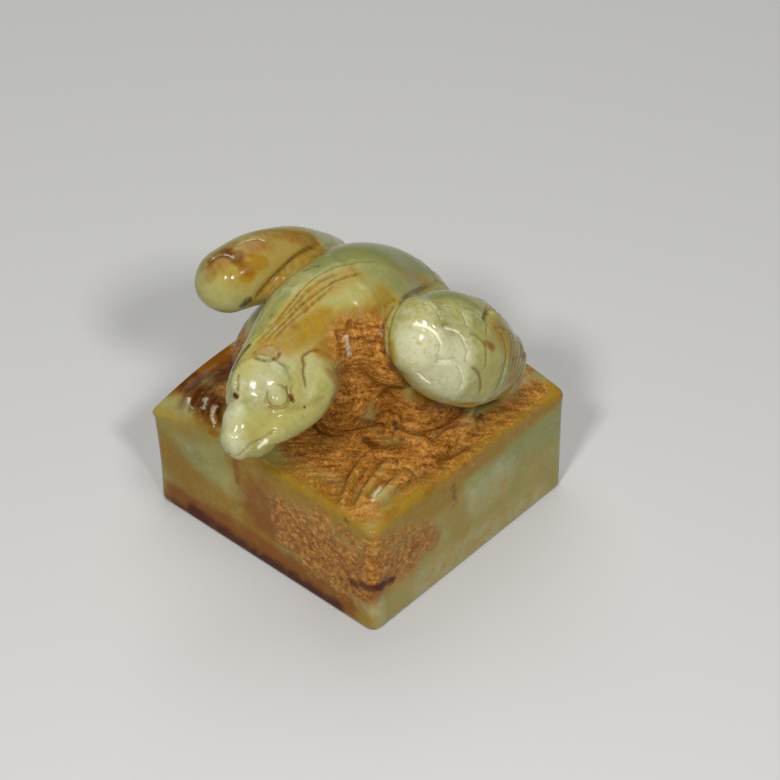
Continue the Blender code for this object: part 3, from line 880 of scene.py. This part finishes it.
class SealColours(bpy.types.PropertyGroup):
    """Colours of the jade, its skin and its stains."""

    jade: colour("Jade", "Celadon green of the clean stone", "9a975c")
    # also the colour of the painted highlight down the block's near upright edge
    pale: colour("Pale jade", "Creamy green of the thin and polished places", "c4c3a2")
    cool: colour("Cool green", "Grey green of the back and the block's front", "787e48")
    amber: colour("Amber", "Orange brown stain above the deep red", "80490a")
    ochre: colour("Ochre", "Golden stain under the polish", "a07c16")
    russet: colour("Russet", "Deep red brown of iron stains", "471500")
    line: colour("Line stain", "Brown that settled in the cuts", "6c410d")
    straw: colour("Straw", "Yellow green tinge of the thin stone near the stains", "a39b56")
    # painted highlight: the near white of the glints painted along the cuts' bevels
    painted_glint: colour("Painted glints", "Ground bevels that the polish didn't reach", "ece8cc")
    dark: colour("Dark marks", "Nearly black specks and pits", "2a1a0c")
    skin_dark: colour("Skin, dark", "Deepest grains of the weathered skin", "683a12")
    skin_mid: colour("Skin, middle", "Body colour of the weathered skin", "a26a22")
    skin_light: colour("Skin, light", "Bright grains of the weathered skin", "cf9650")
    floor: colour("Floor", "Pale paper under the seal", "c3c2bf")


def all_cuts():
    """Every cut of the stone in one list."""
    return (NEAR_WING_CUTS + FAR_WING_CUTS + NECK_CUTS + HEAD_CUTS + FOOT_CUTS + BREAST_CUTS
            + HATCH_CUTS + HIDDEN_CUTS + CREASE_CUTS)


# The near eye: its middle in the photograph, and its radius and height in millimetres
EYE_PLACE = (277.6, 396.0)
EYE_RADIUS = 2.25
EYE_HEIGHT = 0.75

# How far from a cut its feather is raised, the share of that in which it falls off, the share of
# a cut over which it runs out at each end, and how much wider than a cut its stain or its
# painted highlight is
FEATHER_REACH = 2.2
FEATHER_FALL = 0.6
RUN_OUT = 0.12
MARK_SPREAD = 1.3

# How much further than a cut's half width the mesh is made finer, and how far it is at most
FINE_BESIDE = 0.3
FINE_REACH = 1.0

# A random field of the skin: how wide its bumps are in millimetres, and its seed. The coarse and
# the fine lumps are added up by their shares, and all of it begins this far above the seal face
POLISH_WAVES = (6.5, 3)
COARSE_LUMPS = (1.3, 5)
FINE_LUMPS = (0.75, 7)
COARSE_SHARE = 1.2
FINE_SHARE = 0.7
PLAIN_BELOW = 3.0


def swollen(points, tree, normals):
    """Raise the eye by height times (1 - (distance / radius)^2)^0.7 inside its radius."""
    distance = np.linalg.norm(points - np.array(on_stone(tree, EYE_PLACE)), axis=1)
    height = EYE_HEIGHT * np.clip(1.0 - (distance / EYE_RADIUS) ** 2, 0.0, None) ** 0.7
    return points + normals * height[:, None]


def carve(points, triangles, sizes):
    """Cut the lines into the stone: refine its mesh beside them and move it along its normals.

    A cut goes down by depth times exp(-(distance / width)^2), wider on the line's left, and the
    feather on its right is raised by lift times exp(-(distance / reach)^2), less the cut. Stain
    and the painted highlight along a cut's bevel fade with exp(-(distance / 1.3 width)^2). The
    waves of the hand polish and the lumps of the weathered skin are smooth random fields, moved
    along the normals too.
    """
    tree = BVHTree.FromPolygons(points.tolist(), triangles.tolist())
    cuts = [(laid_line(tree, places), *rest) for places, *rest in all_cuts()]
    near = np.zeros(len(points), dtype=bool)
    for line, width, *_ in cuts:
        some = close_to(points, line, FINE_REACH)
        near[some[beside(points[some], line)[0] < FINE_BESIDE + width]] = True
    points, triangles = refined(points, triangles, near)
    normals = outward(points, triangles)
    brown = painted(points, tree, PAINTS["brown"])
    points = swollen(points, tree, normals)
    groove, raised = np.zeros(len(points)), np.zeros(len(points))
    # the second holds the painted highlight along the bevels of cuts with a stain below zero
    stained, painted_glints = np.zeros(len(points)), np.zeros(len(points))
    falling = FEATHER_FALL * FEATHER_REACH
    for line, width, depth, lift, slope, stain in cuts:
        some = close_to(points, line, FEATHER_REACH)
        distance, along, side = beside(points[some], line, normals[some])
        run_out = eased(np.minimum(along, 1.0 - along) / RUN_OUT)
        wide = np.where(side < 0, slope, 1.0) * width
        cut = np.exp(-(distance / wide) ** 2) * run_out
        feather = np.where(side > 0, np.exp(-(distance / falling) ** 2) - cut, 0.0)
        groove[some] = np.maximum(groove[some], depth * cut)
        raised[some] = np.maximum(raised[some], lift * feather * run_out)
        mark = np.exp(-(distance / (MARK_SPREAD * width)) ** 2) * run_out
        stained[some] = np.maximum(stained[some], stain * mark)
        painted_glints[some] = np.maximum(painted_glints[some], -stain * mark)
    wave = sizes.waviness / MM * cloud(points, *POLISH_WAVES)
    turn = np.array([math.cos(STREAK_ANGLE), math.sin(STREAK_ANGLE), 0.0])
    drawn_out = points - (points @ turn)[:, None] * turn * (1.0 - 1.0 / STREAK_STRETCH)
    lumps = sizes.pitting / MM * (COARSE_SHARE * cloud(drawn_out, *COARSE_LUMPS)
                                  + FINE_SHARE * cloud(points, *FINE_LUMPS)) * brown
    above = eased(points[:, 2] / PLAIN_BELOW)
    points = points + normals * (raised - groove + (wave + lumps) * above)[:, None]
    return points, triangles, stained, painted_glints, tree


# How often the stone is averaged to find its hollows, the depth in millimetres at which they are
# darkened most with the line brown, and how much of the brown skin is rubbed off where the
# stone is pale
HOLLOW_ROUNDS = 30
HOLLOW_DEPTH = 0.35
PALE_THROUGH_BROWN = 0.45

# How far apart a paint's line is laid on the stone, and the share of its radius in which it fades
PAINT_STEP = 2.0
PAINT_FADE = 0.7


def painted(points, tree, paints):
    """How strongly the paints cover each point: full near a paint's line, eased to nothing."""
    cover = np.zeros(len(points))
    for places, radius, strength in paints:
        line = laid_line(tree, places, step=PAINT_STEP)
        some = close_to(points, line, radius)
        distance = beside(points[some], line)[0]
        full = eased((1.0 - distance / radius) / PAINT_FADE)
        cover[some] = np.maximum(cover[some], strength * full)
    return cover


def hollows(points, triangles, normals, rounds):
    """How deep each point lies below its surroundings, in millimetres.

    The points are replaced by the mean of their neighbours this many times, and the depth is
    the way from a point to its mean, measured along its normal.
    """
    pairs = np.sort(np.vstack([triangles[:, [0, 1]], triangles[:, [1, 2]], triangles[:, [2, 0]]]))
    pairs = np.unique(pairs, axis=0)
    ends, others = pairs.ravel(), pairs[:, ::-1].ravel()
    count = np.bincount(ends, minlength=len(points))
    mean = points
    for _ in range(rounds):
        mean = np.stack([np.bincount(ends, mean[others, i], len(points)) / count
                         for i in range(3)], -1)
    return ((mean - points) * normals).sum(axis=1)


def add(tree, kind, inputs=None, **settings):
    """Add a node, give it its settings, and link or set each of its inputs."""
    made = tree.nodes.new(kind)
    for name, value in settings.items():
        setattr(made, name, value)
    for socket, value in (inputs or {}).items():
        if isinstance(value, bpy.types.NodeSocket):
            tree.links.new(value, made.inputs[socket])
        else:
            made.inputs[socket].default_value = value
    return made


def worked_out(tree, operation, *values):
    """The result of a Math node."""
    return add(tree, "ShaderNodeMath", dict(enumerate(values)), operation=operation).outputs[0]


def mapped(tree, value, begins=0.0, full=1.0, low=0.0, high=1.0):
    """The value carried from between begins and full to between low and high."""
    return add(tree, "ShaderNodeMapRange", {"Value": value, "From Min": begins, "From Max": full,
                                            "To Min": low, "To Max": high}).outputs[0]


# A noise of the stone: the size of its grains in millimetres, its detail and its distortion
STONE_NOISES = {
    "cloud": (9.0, 5.0, 0.8),
    "patch": (2.6, 6.0, 0.4),
    "fleck": (0.9, 5.0, 0.3),
    "grain": (0.36, 3.0, 0.2),
    "streak": (1.1, 5.0, 0.3),
}

# A crack runs where the clouds have this value, and this is how far off it their value may be
CRACK_LEVEL = 0.47
CRACK_WIDTH = 0.012

# How much the flecks and the grains add to the streaks of the skin, and their sum's middle
FLECKS_IN_SKIN = 0.8
GRAINS_IN_SKIN = 0.9
SKIN_MIDDLE = 1.35

# The skin's grains are drawn out this many times along the streaks, which lie at this angle to X
STREAK_STRETCH = 4.0
STREAK_ANGLE = math.radians(42.0)

# A layer of the stone's colour: its mask, the noise that breaks it up and by how much, the values
# at which it begins and is full, how much of what lies below it hides, and its colour
STONE_LAYERS = (
    ("", "cloud", 1.0, 0.38, 0.66, 0.55, "cool"),
    ("", "patch", 1.0, 0.54, 0.36, 0.25, "straw"),
    ("", "patch", 1.0, 0.44, 0.76, 0.50, "pale"),
    ("", "fleck", 1.0, 0.50, 0.78, 0.28, "pale"),
    ("cool", "patch", 0.8, 0.45, 1.25, 0.8, "cool"),
    ("pale", "patch", 0.5, 0.30, 1.20, 0.95, "pale"),
    ("straw", "patch", 1.0, 0.42, 1.40, 0.9, "straw"),
    ("", "fleck", 1.0, 0.41, 0.33, 0.35, "ochre"),
    ("", "grain", 1.0, 0.60, 0.74, 0.55, "ochre"),
    ("ochre", "patch", 1.6, 0.80, 1.85, 0.92, "ochre"),
    ("ochre", "fleck", 1.6, 1.15, 2.00, 0.40, "line"),
    ("", "crack", 1.0, 0.10, 1.00, 0.6, "ochre"),
    ("amber", "patch", 1.2, 0.60, 1.55, 0.90, "amber"),
    ("brown", "fleck", 1.6, 0.85, 1.65, 1.0, ""),
    ("russet", "patch", 1.2, 0.70, 1.50, 0.95, "russet"),
    ("hollow", "fleck", 1.0, 0.85, 1.60, 0.35, "line"),
    ("stain", "fleck", 1.2, 0.60, 1.40, 0.75, "line"),
    # painted highlight: near-white glints along the cuts' bevels
    ("painted_glint", "fleck", 0.8, 0.50, 1.15, 0.9, "painted_glint"),
    ("dark", "fleck", 1.0, 0.65, 1.20, 0.85, "dark"),
)


def nephrite(colours):
    """Nephrite jade, hand polished: waxy and a little translucent, with a deep soft gloss.

    Iron has stained it ochre under the polish, and where the pebble's weathered skin is left it
    is brown, granular and pitted, so it glitters instead of shining.
    """
    material = bpy.data.materials.new("nephrite_jade")
    material.use_nodes = True
    tree = material.node_tree
    shader = tree.nodes["Principled BSDF"]
    place = add(tree, "ShaderNodeTexCoord").outputs["Object"]
    drawn_out = add(tree, "ShaderNodeMapping", {
        "Vector": place, "Rotation": (0.0, 0.0, STREAK_ANGLE),
        "Scale": (STREAK_STRETCH, 1.0, 1.0)}, vector_type="TEXTURE").outputs[0]
    noise = {}
    for name, (size, detail, distortion) in STONE_NOISES.items():
        noise[name] = add(tree, "ShaderNodeTexNoise", {
            "Vector": drawn_out if name == "streak" else place, "Scale": 1.0 / (size * MM),
            "Detail": detail, "Distortion": distortion}).outputs["Fac"]
    ridge = worked_out(tree, "ABSOLUTE", worked_out(tree, "SUBTRACT", noise["cloud"], CRACK_LEVEL))
    thin = mapped(tree, ridge, full=CRACK_WIDTH, low=1.0, high=0.0)
    noise["crack"] = worked_out(tree, "MULTIPLY", thin, mapped(tree, noise["patch"], 0.48, 0.62))
    flecked = worked_out(tree, "MULTIPLY_ADD", noise["fleck"], FLECKS_IN_SKIN, noise["streak"])
    mixed = worked_out(tree, "MULTIPLY_ADD", noise["grain"], GRAINS_IN_SKIN, flecked)
    skin = add(tree, "ShaderNodeValToRGB", {"Fac": mapped(tree, mixed, 1.05, 1.68)})
    stops = skin.color_ramp.elements
    stops[0].position, stops[1].position = 0.08, 0.95
    stops[0].color = (*colours.skin_dark, 1.0)
    stops[1].color = (*colours.skin_light, 1.0)
    stops.new(0.48).color = (*colours.skin_mid, 1.0)
    shown = (*colours.jade, 1.0)
    for mask, grain, amount, begins, full, hides, tint in STONE_LAYERS:
        edge = noise[grain]
        if mask:
            value = add(tree, "ShaderNodeAttribute", attribute_name=mask).outputs["Fac"]
            edge = worked_out(tree, "MULTIPLY_ADD", edge, amount, value)
            hides = mapped(tree, value, full=0.12, high=hides)
        cover = mapped(tree, edge, begins, full, high=hides)
        if mask == "brown":
            rough = cover
        over = (*getattr(colours, tint), 1.0) if tint else skin.outputs["Color"]
        shown = add(tree, "ShaderNodeMix", {0: cover, 6: shown, 7: over},
                    data_type="RGBA").outputs[2]
    tree.links.new(shown, shader.inputs["Base Color"])
    glitter = mapped(tree, noise["fleck"], 0.35, 0.65, 0.22, 0.48)
    tree.links.new(mapped(tree, rough, low=0.13, high=glitter), shader.inputs["Roughness"])
    polish = add(tree, "ShaderNodeBump", {"Height": noise["patch"], "Distance": 0.05 * MM,
                                          "Strength": 0.6})
    depth = worked_out(tree, "MULTIPLY", worked_out(tree, "SUBTRACT", mixed, SKIN_MIDDLE), rough)
    pits = add(tree, "ShaderNodeBump", {"Height": depth, "Distance": 0.28 * MM, "Strength": 1.0,
                                        "Normal": polish.outputs[0]})
    tree.links.new(pits.outputs[0], shader.inputs["Normal"])
    shader.inputs["IOR"].default_value = 1.61
    shader.inputs["Specular IOR Level"].default_value = 0.10
    shader.inputs["Subsurface Weight"].default_value = 0.25
    shader.inputs["Subsurface Radius"].default_value = (1.0, 0.9, 0.5)
    shader.inputs["Subsurface Scale"].default_value = 1.6 * MM
    return material


class SEAL_OT_carve_stone(bpy.types.Operator):
    """Carve the seal: block and bird in one stone, with its cuts and its stains"""

    bl_idname = "seal.carve_stone"
    bl_label = "Carve the stone"

    def execute(self, context):
        sizes = context.scene.seal_sizes
        points, triangles, ring = mesh_arrays(rough_stone(sizes), sizes.skirt_top / MM)
        points, triangles = with_skirt(points, triangles, ring, sizes)
        points = worn_corners(points, sizes)
        points, triangles, stained, painted_glints, tree = carve(points, triangles, sizes)
        normals = outward(points, triangles)
        deep = hollows(points, triangles, normals, HOLLOW_ROUNDS)
        # painted highlight: the mask of the glints painted along the cuts' bevels
        masks = {"stain": stained, "painted_glint": painted_glints, "hollow": eased(deep / HOLLOW_DEPTH)}
        masks |= {name: painted(points, tree, paints) for name, paints in PAINTS.items()}
        masks["brown"] *= 1.0 - PALE_THROUGH_BROWN * masks["pale"]
        mesh = bpy.data.meshes.new("jade_seal_stone")
        mesh.from_pydata(points * MM, [], triangles.tolist())
        mesh.shade_smooth()
        for name, values in masks.items():
            mesh.attributes.new(name, "FLOAT", "POINT").data.foreach_set("value", values)
        mesh.materials.append(nephrite(context.scene.seal_colours))
        stone = bpy.data.objects.new("jade_seal_stone", mesh)
        context.scene.collection.objects.link(stone)
        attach(stone, "root")
        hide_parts("jade_seal")
        return {"FINISHED"}


# A lamp of the studio: its place and width in metres and its power in watts
LAMPS = {
    "softbox_left": ((0.17, -0.42, 0.54), 0.085, 2.4),
    "softbox_right": ((0.40, -0.21, 0.54), 0.085, 2.2),
    "overhead": ((-0.25, 0.20, 0.80), 0.70, 3.2),
}


# The floor's half width and how far below the seal face it lies, the sky, and the place on which
# the lamps are aimed, in metres
FLOOR_HALF = 2.5
FLOOR_LEVEL = -0.0001
SKY_COLOUR = "e9edf2"
SKY_STRENGTH = 0.08
LAMP_AIM = (0.0, 0.0, 0.03)


class SEAL_OT_set_stage(bpy.types.Operator):
    """Lay the floor, hang the lights and set the camera of the photograph"""

    bl_idname = "seal.set_stage"
    bl_label = "Set the stage"

    def execute(self, context):
        scene = context.scene
        mesh = bpy.data.meshes.new("studio_floor")
        mesh.from_pydata([(x * FLOOR_HALF, y * FLOOR_HALF, FLOOR_LEVEL)
                          for x, y in ((-1, -1), (1, -1), (1, 1), (-1, 1))], [], [(0, 1, 2, 3)])
        floor = bpy.data.objects.new("studio_floor", mesh)
        scene.collection.objects.link(floor)
        paper = bpy.data.materials.new("pale_paper")
        paper.use_nodes = True
        sheet = paper.node_tree.nodes["Principled BSDF"]
        sheet.inputs["Base Color"].default_value = (*scene.seal_colours.floor, 1.0)
        sheet.inputs["Roughness"].default_value = 0.9
        mesh.materials.append(paper)
        world = bpy.data.worlds.new("studio")
        world.use_nodes = True
        sky = world.node_tree.nodes["Background"]
        sky.inputs["Color"].default_value = (*linear(SKY_COLOUR), 1.0)
        sky.inputs["Strength"].default_value = SKY_STRENGTH
        scene.world = world
        for name, (place, width, power) in LAMPS.items():
            light = bpy.data.lights.new(name, "AREA")
            light.size = width
            light.energy = power
            lamp = bpy.data.objects.new(name, light)
            lamp.location = place
            aim = Vector(place) - Vector(LAMP_AIM)
            lamp.rotation_euler = aim.to_track_quat("Z", "Y").to_euler()
            scene.collection.objects.link(lamp)
        camera = bpy.data.cameras.new("photo_camera")
        camera.sensor_width = SENSOR_WIDTH
        camera.lens = FOCAL_PIXELS / PHOTO_SIZE * SENSOR_WIDTH
        camera.clip_start = 0.01
        holder = bpy.data.objects.new("photo_camera", camera)
        matrix = Matrix(camera_axes()).transposed().to_4x4()
        matrix.translation = Vector(camera_place()) * MM
        holder.matrix_world = matrix
        scene.collection.objects.link(holder)
        scene.camera = holder
        scene.view_settings.view_transform = "Standard"
        return {"FINISHED"}


class SEAL_PT_sidebar(bpy.types.Panel):
    """Lists the settings and the steps that make the seal and its picture"""

    bl_label = "Jade seal"
    bl_idname = "SEAL_PT_sidebar"
    bl_space_type = "VIEW_3D"
    bl_region_type = "UI"
    bl_category = "Seal"

    def draw(self, context):
        for group in (context.scene.seal_sizes, context.scene.seal_colours):
            for name in group.__annotations__:
                self.layout.prop(group, name)
        for operator in OPERATORS:
            self.layout.operator(operator.bl_idname)


OPERATORS = (SEAL_OT_carve_stone, SEAL_OT_set_stage)
CLASSES = (SealSizes, SealColours, *OPERATORS, SEAL_PT_sidebar)


def register():
    """Make the add-on's classes and settings known to Blender."""
    for cls in CLASSES:
        bpy.utils.register_class(cls)
    bpy.types.Scene.seal_sizes = bpy.props.PointerProperty(type=SealSizes)
    bpy.types.Scene.seal_colours = bpy.props.PointerProperty(type=SealColours)


def unregister():
    """Take the add-on's settings and classes out again."""
    del bpy.types.Scene.seal_colours
    del bpy.types.Scene.seal_sizes
    for cls in reversed(CLASSES):
        bpy.utils.unregister_class(cls)


def main():
    register()
    bpy.ops.seal.carve_stone()
    bpy.ops.seal.set_stage()


if __name__ == "__main__":
    main()
